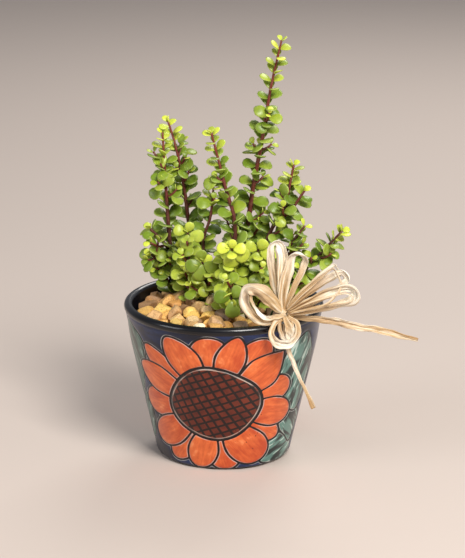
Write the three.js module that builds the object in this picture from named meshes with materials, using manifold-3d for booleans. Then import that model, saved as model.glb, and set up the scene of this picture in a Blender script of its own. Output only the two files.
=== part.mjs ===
// A hand-painted flowerpot planted with elephant bush cuttings, topped with pea gravel and
// dressed with a raffia bow on a wire pick. Millimetres, +Z up, origin at the centre of the
// pot's underside. The front of the pot, with the bow at its right, faces -Y.

import * as THREE from 'three';
import { mergeVertices } from 'three/addons/utils/BufferGeometryUtils.js';
import Module from 'manifold-3d';

const wasm = await Module();
wasm.setup();

// Pot
const POT_HEIGHT = 119;
const RIM_RADIUS = 76;
const RIM_ROLL = 3.4;
const SHOULDER_RADIUS = 71.6;
const SHOULDER_Z = 92;
const NECK_RADIUS = 73.1;
const NECK_Z = 104;
const FOOT_RADIUS = 51.7;
const FOOT_CORNER = 4.5;
const WALL = 7;
const FLOOR = 9;
const FLOOR_CORNER = { inset: 3, outset: 1.3, rise: 3.5 };
const POT_SEGMENTS = 40;

// Fill
const GAP = 0.3;
const DRAINAGE_TOP = 24;
const SOIL_TOP = 100;
const ROOT_BALL_BOTTOM = 45;
const ROOT_BALL_RADIUS = 53;
const ROOT_BALL_FOOT_RADIUS = 44;
const FILL_SEGMENTS = 36;
const ROOT_BALL_SEGMENTS = 32;

// Gravel
const BED_SLAB_TOP = 107;
const BED_PEBBLES = 26;
const BED_PEBBLE_SIZE = 9.5;
const BED_REACH = 58;
const GRAVEL_DOME = 3.5;
const PEBBLE_RINGS = [{ radius: 57, count: 14 }, { radius: 35, count: 8 }];
const PEBBLE_SIZE = [6.2, 8.2];
const PEBBLE_LIFT = 6.2;
const PEBBLE_SCATTER = 2;
const PEBBLE_SPACING_SPREAD = 0.3;
const PEBBLE_POCKET_GAP = 0.6;
const PEBBLE_WALL_GAP = 1;
const PEBBLE_STEM_GAP = 3.2;
const PEBBLE_SHAPE = { corner: [0.9, 1.06], breadth: [0.76, 0.9], height: [0.6, 0.72], tilt: [-0.25, 0.25] };

// Plant
const PLANTING_Z = 88;
const STEM_TIP_RADIUS = 0.7;
const STEM_SIDES = 6;
const STEM_CLEARANCE = 0.5;
const LEAF = { length: 10.5, width: 8.6, thickness: 1.7 };
const LEAF_SIZE = [0.82, 1.12];
const LEAF_CLEARANCE = 0.9;
const LEAF_PITCH = 13;
const LEAF_PITCH_TIP = 7;
const LEAF_TURN = [-0.35, 0.35];
const LEAF_RISE = [0.22, 0.62];
const LEAF_RISE_TIP = 0.5;
const LEAF_SET_OUT = 0.25;
const FIRST_LEAF_Z = [120, 128];
const FIRST_SHOOT_LEAF = 6;
const TIP_LENGTH = 22;
const TIP_SHRINK = 0.4;
const QUARTER_TURN = Math.PI / 2;

// Bow
const KNOT = new THREE.Vector3(44, -64, 127.5);
const KNOT_RADIUS = 5;
const KNOT_SQUEEZE = [1, 0.85, 0.9];
const STRAND_START = 7;
const STRAND_LAYER = 1.6;
const STRAND_THICKNESS = 0.9;
const STRAND_STEPS = 16;
const PICK_RADIUS = 0.8;
const PICK_X = 35;
const PICK_Y = -44;
const PICK_BOTTOM = 76;
const PICK_CLEARANCE = 0.5;
const PICK_HOLE_LENGTH = 60;

const glaze = { color: 0x1d2236, roughness: 0.2, metalness: 0 };
const stone = { color: 0xb98b5a, roughness: 0.75, metalness: 0 };
const soil = { color: 0x2c2018, roughness: 0.95, metalness: 0 };
const green = { color: 0x7f9f35, roughness: 0.45, metalness: 0 };
const straw = { color: 0xdcbc8c, roughness: 0.7, metalness: 0 };
const wire = { color: 0x3f5a3a, roughness: 0.5, metalness: 0.4 };

const object = new THREE.Group();

/** A repeatable stream of numbers from 0 to 1 (a Lehmer generator). */
function numberStream(seed) {
	let state = seed;
	return () => {
		state = (state * 16807) % 2147483647;
		return state / 2147483647;
	};
}

function between([low, high], next) {
	return low + (high - low) * next();
}

function addPart(name, geometry, finish) {
	const mesh = new THREE.Mesh(geometry, new THREE.MeshStandardMaterial(finish));
	mesh.name = name;
	object.add(mesh);
	return mesh;
}

function weld(geometry) {
	const bare = geometry.clone();
	bare.deleteAttribute('normal');
	bare.deleteAttribute('uv');
	return mergeVertices(bare, 1e-4);
}

function toSolid(geometry) {
	const welded = weld(geometry);
	return new wasm.Manifold(new wasm.Mesh({
		numProp: 3,
		vertProperties: new Float32Array(welded.attributes.position.array),
		triVerts: new Uint32Array(welded.index.array),
	}));
}

function toGeometry(solid) {
	const mesh = solid.getMesh();
	const geometry = new THREE.BufferGeometry();
	const points = new Float32Array(mesh.numVert * 3);
	for (let i = 0; i < mesh.numVert; i++) {
		for (let k = 0; k < 3; k++) points[3 * i + k] = mesh.vertProperties[mesh.numProp * i + k];
	}
	geometry.setAttribute('position', new THREE.BufferAttribute(points, 3));
	geometry.setIndex(new THREE.BufferAttribute(new Uint32Array(mesh.triVerts), 1));
	geometry.computeVertexNormals();
	return geometry;
}

/** Turns a closed profile of (radius, height) pairs about the Z axis. */
function turned(profile, segments = POT_SEGMENTS) {
	const points = profile.map(([radius, z]) => new THREE.Vector2(radius, z));
	return new THREE.LatheGeometry(points, segments).rotateX(QUARTER_TURN);
}

function curveThrough(route) {
	return new THREE.CatmullRomCurve3(route.map((p) => new THREE.Vector3(...p)), false, 'centripetal');
}

/** The frame at t on a curve: its centre, its tangent and two directions across it. */
function frameAt(curve, t, reference) {
	const centre = curve.getPointAt(t);
	const along = curve.getTangentAt(t);
	const side = reference.clone().addScaledVector(along, -reference.dot(along)).normalize();
	const up = new THREE.Vector3().crossVectors(along, side);
	return { centre, along, side, up };
}

/** Bends a geometry that stands on Z from 0 to 1, so that its Z axis follows a curve. */
function bendAlong(geometry, curve, referenceAt) {
	const position = geometry.attributes.position;
	for (let i = 0; i < position.count; i++) {
		const t = THREE.MathUtils.clamp(position.getZ(i), 0, 1);
		const { centre, side, up } = frameAt(curve, t, referenceAt(t));
		centre.addScaledVector(side, position.getX(i)).addScaledVector(up, position.getY(i));
		position.setXYZ(i, centre.x, centre.y, centre.z);
	}
	return geometry;
}

// --- Pot: one thrown and moulded shell with a rolled rim and a flat underside ---------------

/** The pot's inner wall, as (radius, height) pairs from its floor to the rim. */
const innerWall = [
	[FOOT_RADIUS - WALL - FLOOR_CORNER.inset, FLOOR],
	[FOOT_RADIUS - WALL + FLOOR_CORNER.outset, FLOOR + FLOOR_CORNER.rise],
	[SHOULDER_RADIUS - WALL, SHOULDER_Z],
	[RIM_RADIUS - 2 * RIM_ROLL, POT_HEIGHT - RIM_ROLL],
];

function innerRadius(z) {
	for (let i = 1; i < innerWall.length; i++) {
		const [r0, z0] = innerWall[i - 1];
		const [r1, z1] = innerWall[i];
		if (z <= z1) return r0 + (r1 - r0) * Math.max(0, (z - z0) / (z1 - z0));
	}
	return innerWall[innerWall.length - 1][0];
}

function arc(centreRadius, centreZ, radius, from, to, steps) {
	return Array.from({ length: steps + 1 }, (_, i) => {
		const angle = THREE.MathUtils.degToRad(from + ((to - from) * i) / steps);
		return [centreRadius + radius * Math.cos(angle), centreZ + radius * Math.sin(angle)];
	});
}

const rollCentre = [RIM_RADIUS - RIM_ROLL, POT_HEIGHT - RIM_ROLL];
addPart('pot_body', turned([
	[0, 0],
	...arc(FOOT_RADIUS - FOOT_CORNER, FOOT_CORNER, FOOT_CORNER, -90, -10, 3),
	[SHOULDER_RADIUS, SHOULDER_Z],
	[NECK_RADIUS, NECK_Z],
	...arc(...rollCentre, RIM_ROLL, -60, 180, 8),
	...innerWall.slice(0, -1).reverse(),
	[0, FLOOR],
]), glaze);

// --- Fill: drainage gravel, potting soil and a root ball -------------------------------------

/** A fill that lies against the inner wall between two heights. */
function fill(bottom, top) {
	const corner = FLOOR + FLOOR_CORNER.rise + GAP;
	const heights = [bottom, corner, SHOULDER_Z, top].filter((z) => z >= bottom && z <= top);
	return turned([[0, bottom], ...heights.map((z) => [innerRadius(z) - 2 * GAP, z]), [0, top]], FILL_SEGMENTS);
}

addPart('drainage_layer', fill(FLOOR + GAP, DRAINAGE_TOP), stone);

const rootBallProfile = [
	[0, ROOT_BALL_BOTTOM],
	[ROOT_BALL_FOOT_RADIUS, ROOT_BALL_BOTTOM],
	[ROOT_BALL_RADIUS, SOIL_TOP],
	[0, SOIL_TOP],
];
const rootBallRecess = turned([
	[0, ROOT_BALL_BOTTOM - GAP],
	[ROOT_BALL_FOOT_RADIUS + GAP, ROOT_BALL_BOTTOM - GAP],
	[ROOT_BALL_RADIUS + 2 * GAP, SOIL_TOP + 1],
	[0, SOIL_TOP + 1],
], ROOT_BALL_SEGMENTS);

/** An upright round hole for the pick, from its tip up past the gravel. */
const pickHoleRadius = PICK_RADIUS + PICK_CLEARANCE;
const pickHole = toSolid(new THREE.CylinderGeometry(pickHoleRadius, pickHoleRadius, PICK_HOLE_LENGTH, 8)
	.rotateX(QUARTER_TURN).translate(PICK_X, PICK_Y, PICK_BOTTOM - GAP + PICK_HOLE_LENGTH / 2));

addPart('potting_soil', toGeometry(
	toSolid(fill(DRAINAGE_TOP + GAP, SOIL_TOP)).subtract(toSolid(rootBallRecess)).subtract(pickHole),
), soil);

// --- Plant: routes of the stems, from the root ball to the growing tips ----------------------

// Each cutting is one branch, pushed into the root ball, with the side shoots that it carries.
const cuttings = {
	cutting_tall: [
		{ base: 2.3, route: [[12, 20, PLANTING_Z], [12, 20, 117], [15, 20, 143], [22, 16, 200], [29, 12, 240],
			[35, 8, 279], [43, 4, 317]] },
	],
	cutting_left: [
		{ base: 2.2, route: [[-40, 25, PLANTING_Z], [-40, 25, 117], [-41, 25, 151], [-43, 25, 185], [-45, 25, 222],
			[-46, 25, 243]] },
		{ base: 1.4, route: [[-41, 25, 134], [-48, 20, 143], [-56, 16, 150]] },
		{ base: 1.4, route: [[-42, 25, 152], [-48, 20, 161], [-56, 18, 170]] },
	],
	cutting_left_back: [
		{ base: 2.2, route: [[-20, 32, PLANTING_Z], [-20, 32, 117], [-22, 32, 141], [-27, 32, 173], [-31, 32, 205],
			[-37, 32, 233], [-42, 32, 250]] },
	],
	cutting_middle: [
		{ base: 2.2, route: [[10, 4, PLANTING_Z], [10, 4, 117], [9, 4, 149], [8, 5, 181], [2, 6, 203], [-4, 6, 227],
			[-9, 6, 247]] },
	],
	cutting_thin: [
		{ base: 1.7, route: [[-16, 15, PLANTING_Z], [-16, 15, 122], [-15, 14, 162], [-10, 13, 180], [-7, 12, 209]] },
	],
	cutting_right: [
		{ base: 2.3, route: [[20, 8, PLANTING_Z], [20, 8, 120], [26, 8, 146], [37, 8, 173], [46, 8, 190],
			[53, 8, 222]] },
		{ base: 1.5, route: [[42, 8, 181], [50, 4, 187], [61, 0, 204]] },
	],
	cutting_right_low: [
		{ base: 2.1, route: [[36, 0, PLANTING_Z], [36, 0, 120], [50, -4, 131], [62, -7, 145], [74, -9, 159],
			[89, -12, 176]] },
		{ base: 1.5, route: [[37, 0, 122], [41, 1, 140], [46, 0, 154], [53, -3, 166], [61, -5, 178]] },
	],
	cutting_front: [
		{ base: 1.9, route: [[8, -8, PLANTING_Z], [9, -9, 116], [8, -17, 143], [6, -28, 168]] },
	],
	cutting_front_left: [
		{ base: 1.7, route: [[-25, 7, PLANTING_Z], [-25, 7, 122], [-26, 5, 149], [-27, 1, 172]] },
	],
	cutting_front_short: [
		{ base: 1.6, route: [[-12, 1, PLANTING_Z], [-12, 1, 118], [-14, -6, 139], [-16, -10, 152]] },
	],
	cutting_front_low: [
		{ base: 1.6, route: [[4, -17, PLANTING_Z], [4, -17, 116], [5, -24, 133], [6, -34, 138], [6, -42, 131]] },
	],
	cutting_front_right: [
		{ base: 1.7, route: [[22, -9, PLANTING_Z], [22, -9, 120], [24, -15, 146], [26, -20, 164]] },
	],
};

function stemReference(route) {
	const [x0, y0] = route[0];
	const [x1, y1] = route[route.length - 1];
	const runsForward = Math.abs(y1 - y0) > Math.abs(x1 - x0);
	return runsForward ? new THREE.Vector3(1, 0, 0) : new THREE.Vector3(0, 1, 0);
}

/** A six-sided stem that tapers along its route, made thicker by extra for a clearance hole. */
function stemGeometry({ base, route }, extra = 0) {
	const reference = stemReference(route);
	const steps = 2 * (route.length - 1);
	const straight = new THREE.CylinderGeometry(STEM_TIP_RADIUS + extra, base + extra, 1, STEM_SIDES, steps)
		.rotateX(QUARTER_TURN).translate(0, 0, 0.5);
	return bendAlong(straight, curveThrough(route), () => reference);
}

const stemHoles = Object.values(cuttings)
	.map(([trunk]) => toSolid(stemGeometry(trunk, STEM_CLEARANCE)))
	.reduce((all, hole) => all.add(hole));

const rootBall = toSolid(turned(rootBallProfile, ROOT_BALL_SEGMENTS));
addPart('root_ball', toGeometry(rootBall.subtract(stemHoles)), soil);

// --- Gravel: a bed of packed stones, with loose pebbles lying in it --------------------------

/** How much the gravel rises from the wall towards the middle. */
function dome(radius) {
	return GRAVEL_DOME * (1 - (radius / innerRadius(POT_HEIGHT)) ** 2);
}

/** A broken stone: eight uneven facets, flattened, turned and set down at a place. */
function pebbleGeometry(place, size, next) {
	const stoneShape = weld(new THREE.OctahedronGeometry(1, 1));
	const corner = stoneShape.attributes.position;
	for (let i = 0; i < corner.count; i++) {
		const bump = between(PEBBLE_SHAPE.corner, next);
		corner.setXYZ(i, corner.getX(i) * bump, corner.getY(i) * bump, corner.getZ(i) * bump);
	}
	stoneShape.scale(size, size * between(PEBBLE_SHAPE.breadth, next), size * between(PEBBLE_SHAPE.height, next));
	stoneShape.rotateX(between(PEBBLE_SHAPE.tilt, next)).rotateY(between(PEBBLE_SHAPE.tilt, next));
	return stoneShape.rotateZ(2 * Math.PI * next()).translate(...place);
}

/** True where a stone of this size would touch a stem or the pick. */
function meetsStem(x, y, size) {
	const upright = Object.values(cuttings).map(([trunk]) => trunk.route[1]).concat([[PICK_X, PICK_Y]]);
	return upright.some(([sx, sy]) => Math.hypot(x - sx, y - sy) < size + PEBBLE_STEM_GAP);
}

const stones = numberStream(4711);
let bed = toSolid(fill(SOIL_TOP + GAP, BED_SLAB_TOP));
for (let i = 0; i < BED_PEBBLES; i++) {
	const radius = BED_REACH * Math.sqrt((i + 0.5) / BED_PEBBLES);
	const angle = i * Math.PI * (3 - Math.sqrt(5));
	const place = [radius * Math.cos(angle), radius * Math.sin(angle), BED_SLAB_TOP + dome(radius)];
	bed = bed.add(toSolid(pebbleGeometry(place, BED_PEBBLE_SIZE, stones)));
}

const loosePebbles = [];
for (const { radius, count } of PEBBLE_RINGS) {
	for (let i = 0; i < count; i++) {
		const angle = (2 * Math.PI * (i + PEBBLE_SPACING_SPREAD * stones())) / count;
		const size = between(PEBBLE_SIZE, stones);
		const furthest = innerRadius(POT_HEIGHT) - size * PEBBLE_SHAPE.corner[1] - PEBBLE_WALL_GAP;
		const reach = Math.min(radius + between([-PEBBLE_SCATTER, PEBBLE_SCATTER], stones), furthest);
		const [x, y] = [reach * Math.cos(angle), reach * Math.sin(angle)];
		if (meetsStem(x, y, size)) continue;
		const place = [x, y, BED_SLAB_TOP + PEBBLE_LIFT + dome(reach)];
		const seed = 100 + Math.round(stones() * 1e6);
		const pocket = pebbleGeometry(place, size + PEBBLE_POCKET_GAP, numberStream(seed));
		bed = bed.subtract(toSolid(pocket));
		loosePebbles.push(pebbleGeometry(place, size, numberStream(seed)));
	}
}
addPart('gravel_bed', toGeometry(bed.subtract(stemHoles).subtract(pickHole)), stone);
loosePebbles.forEach((shape, i) => {
	addPart(`pebble_${String(i + 1).padStart(2, '0')}`, shape, stone);
});

// --- Bow: loops and tails of raffia held by a knot, on a wire pick pushed into the soil -----

const knot = new THREE.SphereGeometry(KNOT_RADIUS, 12, 8).scale(...KNOT_SQUEEZE);
addPart('bow_knot', knot.translate(...KNOT.toArray()), straw);

const pickRoute = [
	[42.6, -59.4, 127],
	[39.4, -52.4, 126.4],
	[PICK_X + 1.2, PICK_Y - 1.8, 123],
	[PICK_X, PICK_Y, 117],
	[PICK_X, PICK_Y, 105],
	[PICK_X, PICK_Y, PICK_BOTTOM],
];
const pickSection = new THREE.Shape().absarc(0, 0, PICK_RADIUS, 0, 2 * Math.PI);
addPart('bow_pick', new THREE.ExtrudeGeometry(pickSection, {
	steps: 22,
	curveSegments: 4,
	extrudePath: curveThrough(pickRoute),
}), wire);

/** A place in the bow's fan: an angle from +X towards +Z, a distance from the knot, a depth. */
function fanPoint(degrees, distance, depth) {
	const angle = THREE.MathUtils.degToRad(degrees);
	return [KNOT.x + distance * Math.cos(angle), KNOT.y + depth, KNOT.z + distance * Math.sin(angle)];
}

// Each loop leaves the knot at one angle and comes back to it at another. Lean is how far
// its outer end lies behind (+) or in front (-) of the knot.
const bowLoops = {
	bow_loop_left: { out: 131, back: 181, length: 34, lean: -4, width: 7.6 },
	bow_loop_tall_left: { out: 109, back: 96, length: 55, lean: 4, width: 6 },
	bow_loop_tall_right: { out: 82, back: 66, length: 50, lean: 1, width: 6 },
	bow_loop_right_upper: { out: 51, back: 42, length: 55, lean: 7, width: 3.4 },
	bow_loop_right_middle: { out: 35, back: 27, length: 60, lean: 0, width: 3.4 },
	bow_loop_right_lower: { out: 20, back: 9, length: 56, lean: -7, width: 3.8 },
	bow_loop_hanging: { out: 226, back: 312, length: 21, lean: -10, width: 4.4 },
	bow_loop_hanging_inner: { out: 254, back: 288, length: 17, lean: -5, width: 2.5 },
};

/** A flat strand bent into a loop: face on along its sides, rolled over at its outer end. */
function loopGeometry({ out, back, length, lean, width }) {
	const middle = (out + back) / 2;
	const route = [
		fanPoint(out, STRAND_START, STRAND_LAYER + (lean * STRAND_START) / length),
		fanPoint(out, 0.45 * length, 0.7 * STRAND_LAYER + 0.45 * lean),
		fanPoint(out, 0.84 * length, 0.3 * STRAND_LAYER + 0.84 * lean),
		fanPoint(middle, length, lean),
		fanPoint(back, 0.84 * length, -0.3 * STRAND_LAYER + 0.84 * lean),
		fanPoint(back, 0.45 * length, -0.7 * STRAND_LAYER + 0.45 * lean),
		fanPoint(back, STRAND_START, -STRAND_LAYER + (lean * STRAND_START) / length),
	];
	const curve = curveThrough(route);
	const flat = new THREE.BoxGeometry(1, STRAND_THICKNESS, 1, 1, 1, STRAND_STEPS).translate(0, 0, 0.5);
	const position = flat.attributes.position;
	for (let i = 0; i < position.count; i++) {
		const fullness = 0.25 + 0.75 * Math.sin(Math.PI * position.getZ(i)) ** 0.8;
		position.setX(i, position.getX(i) * width * fullness);
	}
	const depth = new THREE.Vector3(0, 1, 0);
	return bendAlong(flat, curve, (t) => {
		const roll = QUARTER_TURN * Math.sin(Math.PI * t) ** 4;
		const across = new THREE.Vector3().crossVectors(curve.getTangentAt(t), depth).normalize();
		return across.multiplyScalar(Math.cos(roll)).addScaledVector(depth, Math.sin(roll));
	});
}

for (const [name, loop] of Object.entries(bowLoops)) addPart(name, loopGeometry(loop), straw);

// The tails are loose at their outer ends.
const bowTails = {
	bow_tail_long: { width: 4.8, route: [[51.6, -64.6, 124.6], [64, -66, 124.2], [82, -67, 122], [100, -69, 118.5],
		[120, -71, 115], [142, -74, 110]] },
	bow_tail_short: { width: 3.2, route: [[45, -64, 119.5], [45.6, -65, 110], [48.4, -65, 98], [53.4, -65.5, 85],
		[60, -66, 70], [67, -67, 55]] },
};
for (const [name, { width, route }] of Object.entries(bowTails)) {
	const section = new THREE.Shape().absarc(0, 0, width / 2, 0, 2 * Math.PI);
	addPart(name, new THREE.ExtrudeGeometry(section, {
		steps: 14,
		curveSegments: 4,
		extrudePath: curveThrough(route),
	}), straw);
}

// --- Leaves: opposite pairs, each pair turned a quarter turn from the one below --------------

const taken = object.children
	.filter((mesh) => !['drainage_layer', 'potting_soil', 'root_ball', 'pot_body'].includes(mesh.name))
	.map((mesh) => ({ owner: mesh.name, solid: toSolid(mesh.geometry) }));
taken.forEach((entry) => { entry.box = entry.solid.boundingBox(); });

function take(owner, solid) {
	taken.push({ owner, solid, box: solid.boundingBox() });
	return solid;
}

function boxesMeet(a, b) {
	return [0, 1, 2].every((k) => a.min[k] < b.max[k] && b.min[k] < a.max[k]);
}

function isFree(owner, solid) {
	const box = solid.boundingBox();
	return taken.every((other) => other.owner === owner || !boxesMeet(box, other.box)
		|| other.solid.intersect(solid).isEmpty());
}

/** A leaf from a stem at start, growing along direction, with its upper face along facing. */
function leafGeometry(start, direction, facing, scale, grow = 0) {
	const length = LEAF.length * scale;
	const blade = turned([[0, -0.5], [1, 0], [0, 0.5]], 6).rotateZ(Math.PI / 6);
	blade.scale(length / 2 + grow, (LEAF.width * scale) / 2 + grow, LEAF.thickness + grow);
	const across = new THREE.Vector3().crossVectors(facing, direction).normalize();
	const normal = new THREE.Vector3().crossVectors(direction, across);
	const centre = start.clone().addScaledVector(direction, length / 2 + LEAF_SET_OUT);
	return blade.applyMatrix4(new THREE.Matrix4().makeBasis(direction, across, normal).setPosition(centre));
}

/** The places, directions and sizes of the leaves along one stem. */
function leafSites({ base, route }, next) {
	const curve = curveThrough(route);
	const total = curve.getLength();
	const reference = stemReference(route);
	const isTrunk = route[0][2] === PLANTING_Z;
	const sites = [];
	let travelled = isTrunk ? between(FIRST_LEAF_Z, next) - PLANTING_Z : FIRST_SHOOT_LEAF;
	let pair = Math.floor(2 * next());
	while (travelled < total - 1) {
		const t = travelled / total;
		const { centre, along, side, up } = frameAt(curve, t, reference);
		const nearTip = Math.max(0, 1 - (total - travelled) / TIP_LENGTH);
		const turn = pair * QUARTER_TURN + between(LEAF_TURN, next);
		const scale = between(LEAF_SIZE, next) * (1 - TIP_SHRINK * nearTip);
		for (const flip of [0, Math.PI]) {
			const outward = side.clone().multiplyScalar(Math.cos(turn + flip))
				.addScaledVector(up, Math.sin(turn + flip));
			const rise = between(LEAF_RISE, next) + LEAF_RISE_TIP * nearTip;
			const direction = outward.clone().addScaledVector(along, rise).normalize();
			const facing = along.clone().addScaledVector(outward, -rise);
			sites.push({ start: centre, direction, facing, scale });
		}
		travelled += LEAF_PITCH + (LEAF_PITCH_TIP - LEAF_PITCH) * nearTip;
		pair += 1;
	}
	return sites;
}

const growth = numberStream(20261);
for (const [name, stems] of Object.entries(cuttings)) {
	for (const stem of stems) take(name, toSolid(stemGeometry(stem)));
}
for (const [name, stems] of Object.entries(cuttings)) {
	let plant = stems.map((stem) => toSolid(stemGeometry(stem))).reduce((all, stem) => all.add(stem));
	for (const stem of stems) {
		for (const { start, direction, facing, scale } of leafSites(stem, growth)) {
			const clearance = toSolid(leafGeometry(start, direction, facing, scale, LEAF_CLEARANCE / 2));
			if (!isFree(name, clearance)) continue;
			plant = plant.add(take(name, toSolid(leafGeometry(start, direction, facing, scale))));
		}
	}
	addPart(name, toGeometry(plant), green);
}

export default object;
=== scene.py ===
import math

import bmesh
import bpy
import numpy as np
from mathutils import Matrix, Vector


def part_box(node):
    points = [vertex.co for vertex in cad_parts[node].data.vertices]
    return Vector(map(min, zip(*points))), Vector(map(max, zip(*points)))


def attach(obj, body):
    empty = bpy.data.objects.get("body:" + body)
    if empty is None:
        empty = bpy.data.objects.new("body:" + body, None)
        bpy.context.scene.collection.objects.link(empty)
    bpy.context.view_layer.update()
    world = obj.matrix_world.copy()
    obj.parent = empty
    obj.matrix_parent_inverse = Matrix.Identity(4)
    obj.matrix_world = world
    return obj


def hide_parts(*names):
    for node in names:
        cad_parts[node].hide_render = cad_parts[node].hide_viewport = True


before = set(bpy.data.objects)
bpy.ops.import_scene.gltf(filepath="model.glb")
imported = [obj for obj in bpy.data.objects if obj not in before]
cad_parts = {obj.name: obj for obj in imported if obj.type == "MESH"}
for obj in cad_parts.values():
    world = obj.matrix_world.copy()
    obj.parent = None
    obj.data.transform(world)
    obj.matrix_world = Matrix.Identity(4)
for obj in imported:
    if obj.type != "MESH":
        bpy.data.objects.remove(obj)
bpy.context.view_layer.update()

MM = 0.001


# --- Camera ---------------------------------------------
# The pot is seen from nearly straight in front of its sunflower, from a little above the leaves.
# The view is long and narrow, as through a portrait lens.
CAMERA_PLACE = (0.0068, -1.6737, 0.6181)
CAMERA_DOWN = math.radians(16.1)
CAMERA_LENS = 148.4

camera_lens = bpy.data.cameras.new("camera")
camera_lens.lens = CAMERA_LENS
camera_lens.clip_end = 20
camera = bpy.data.objects.new("camera", camera_lens)
camera.location = CAMERA_PLACE
camera.rotation_euler = (math.pi / 2 - CAMERA_DOWN, 0, 0)
bpy.context.scene.collection.objects.link(camera)
bpy.context.scene.camera = camera
bpy.context.scene.view_settings.view_transform = "Standard"


# --- Pot ------------------------------------------------
# A red clay flowerpot, thrown on a wheel: thick wall, rolled rim, flat foot. A sunflower and its
# leaves are drawn front and back with black resist lines, which the coloured glazes pool between.
POT_TURNS = 480
ROW_PITCH = 0.82
FOOT_CORNER = 4.5
INNER_FLOOR = 9
RIM_ROLL = 3.4
RIM_ROLL_CENTRE = (72.6, 115.6)
GLAZED_FOOT = 1
WALL_TOP = 112.6
WOBBLE = 0.3
FLOWER_CENTRE_Z = 55
FLOWER_AZIMUTH = math.radians(-7)
FLOWER_SQUEEZE = 0.84
DRAWN_REACH = 5.0
GROOVE = 0.3
GROOVE_WIDTH = 0.55
PILLOW = 0.35
PILLOW_WIDTH = 1.6


def smooth_line(points, count, closed=False):
    """Evenly spaced places on a smooth curve through the points."""
    p = np.array(points, float)
    p = np.vstack([p[-1:], p, p[:2]] if closed else [2 * p[0] - p[1], p, 2 * p[-1] - p[-2]])
    t = np.linspace(0, 1, 16, endpoint=False)[:, None]
    spans = []
    for a, b, c, d in zip(p, p[1:], p[2:], p[3:]):
        spans.append(0.5 * (2 * b + (c - a) * t + (2 * a - 5 * b + 4 * c - d) * t**2
                            + (3 * b - a - 3 * c + d) * t**3))
    fine = np.vstack(spans + [p[-2:-1]])
    run = np.concatenate([[0], np.cumsum(np.linalg.norm(np.diff(fine, axis=0), axis=1))])
    at = np.linspace(0, run[-1], count)
    return np.column_stack([np.interp(at, run, axis) for axis in fine.T])


def arc(centre_r, centre_z, radius, start, stop, count):
    """Places on a round stretch of the pot's outline, between two directions in degrees."""
    angles = np.radians(np.linspace(start, stop, count))
    return np.column_stack([centre_r + radius * np.cos(angles), centre_z + radius * np.sin(angles)])


foot_arc = arc(47.2, FOOT_CORNER, FOOT_CORNER, -90, -10, 10)
rim_roll = arc(*RIM_ROLL_CENTRE, RIM_ROLL, -52, 180, 26)
wall_stops = [foot_arc[-1], (61.6, 48), (69.8, 84), (72.0, 96), (73.1, 104), rim_roll[0]]
wall_bend = smooth_line(wall_stops, 400)
wall_rows = round(np.linalg.norm(wall_bend[-1] - wall_bend[0]) / ROW_PITCH)
wall_side = wall_bend[np.linspace(0, len(wall_bend) - 1, wall_rows).astype(int)]
inner_side = [(68.2, 110), (66.8, 103), (64.6, 92), (60, 70), (53, 40), (46, 12.5),
              (41.7, INNER_FLOOR), (20, INNER_FLOOR), (0, INNER_FLOOR)]
pot_profile = np.vstack([[(0, 0), (24, 0)], foot_arc, wall_side[1:-1], rim_roll, inner_side])


def link_piece(name, mesh, *materials):
    """A finished mesh as an object of the scene, with its materials."""
    piece = bpy.data.objects.new(name, mesh)
    for material in materials:
        mesh.materials.append(material)
    bpy.context.scene.collection.objects.link(piece)
    return piece


def places_of(mesh):
    """The mesh's points as an array, in millimetres."""
    flat = np.empty(len(mesh.vertices) * 3)
    mesh.vertices.foreach_get("co", flat)
    return flat.reshape(-1, 3) / MM


def move_to(mesh, places):
    """Moves the mesh's points to these places, in millimetres."""
    mesh.vertices.foreach_set("co", (places * MM).ravel())
    mesh.update()


def write_on(mesh, name, values):
    """Stores one number or vector for each point, for the material to read."""
    values = np.asarray(values, np.float32)
    kind, key = ("FLOAT", "value") if values.ndim == 1 else ("FLOAT_VECTOR", "vector")
    mesh.attributes.new(name, kind, "POINT").data.foreach_set(key, values.ravel())


def mesh_from(bm, name):
    """The bmesh as a smooth-shaded mesh."""
    mesh = bpy.data.meshes.new(name)
    bm.to_mesh(mesh)
    bm.free()
    mesh.shade_smooth()
    return mesh


# An eighth of the pot is spun, and copies of it close the round.
bm = bmesh.new()
profile_points = [bm.verts.new((r * MM, 0, z * MM)) for r, z in pot_profile]
profile_edges = [bm.edges.new(pair) for pair in zip(profile_points, profile_points[1:])]
bmesh.ops.spin(bm, geom=profile_points + profile_edges, cent=(0, 0, 0), axis=(0, 0, 1),
               angle=math.pi / 4, steps=POT_TURNS // 8)
for turn in (math.pi / 4, math.pi / 2, math.pi):
    copied = bmesh.ops.duplicate(bm, geom=bm.verts[:] + bm.edges[:] + bm.faces[:])["geom"]
    copied_points = [part for part in copied if isinstance(part, bmesh.types.BMVert)]
    bmesh.ops.rotate(bm, cent=(0, 0, 0), matrix=Matrix.Rotation(turn, 3, "Z"), verts=copied_points)
bmesh.ops.remove_doubles(bm, verts=bm.verts, dist=0.01 * MM)
bmesh.ops.recalc_face_normals(bm, faces=bm.faces)
pot_mesh = mesh_from(bm, "painted_pot")

# Front petals as (direction, reach, half width, how pointed, lean), in degrees and millimetres
# from the middle of the flower; the petals behind them fill the gaps.
FRONT_PETALS = [
    (115, 61.5, 11.5, 0.35, 5), (73, 59.5, 10, 0.5, 0), (38, 64, 13, 1.0, 3), (-12, 56, 12.5, 0.1, 0),
    (-59, 57, 14, 0.0, 0), (-101, 54.5, 10, 0.0, 0), (-140, 57, 12.5, 0.0, 0), (157, 63, 11.5, 0.4, 0),
]
BACK_PETALS = [
    (92, 56.5, 13.5, 0.0, 0), (57, 64.5, 12, 0.1, -2), (15, 56, 11.5, 0.0, 0), (-35, 53, 10, 0.2, 0),
    (-82, 55, 11, 0.0, 0), (-120, 57, 10, 0.1, 0), (-175, 55, 12.5, 0.1, 0), (140, 66, 8.5, 0.3, 0),
]
PETAL_ROOT = 24
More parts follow.
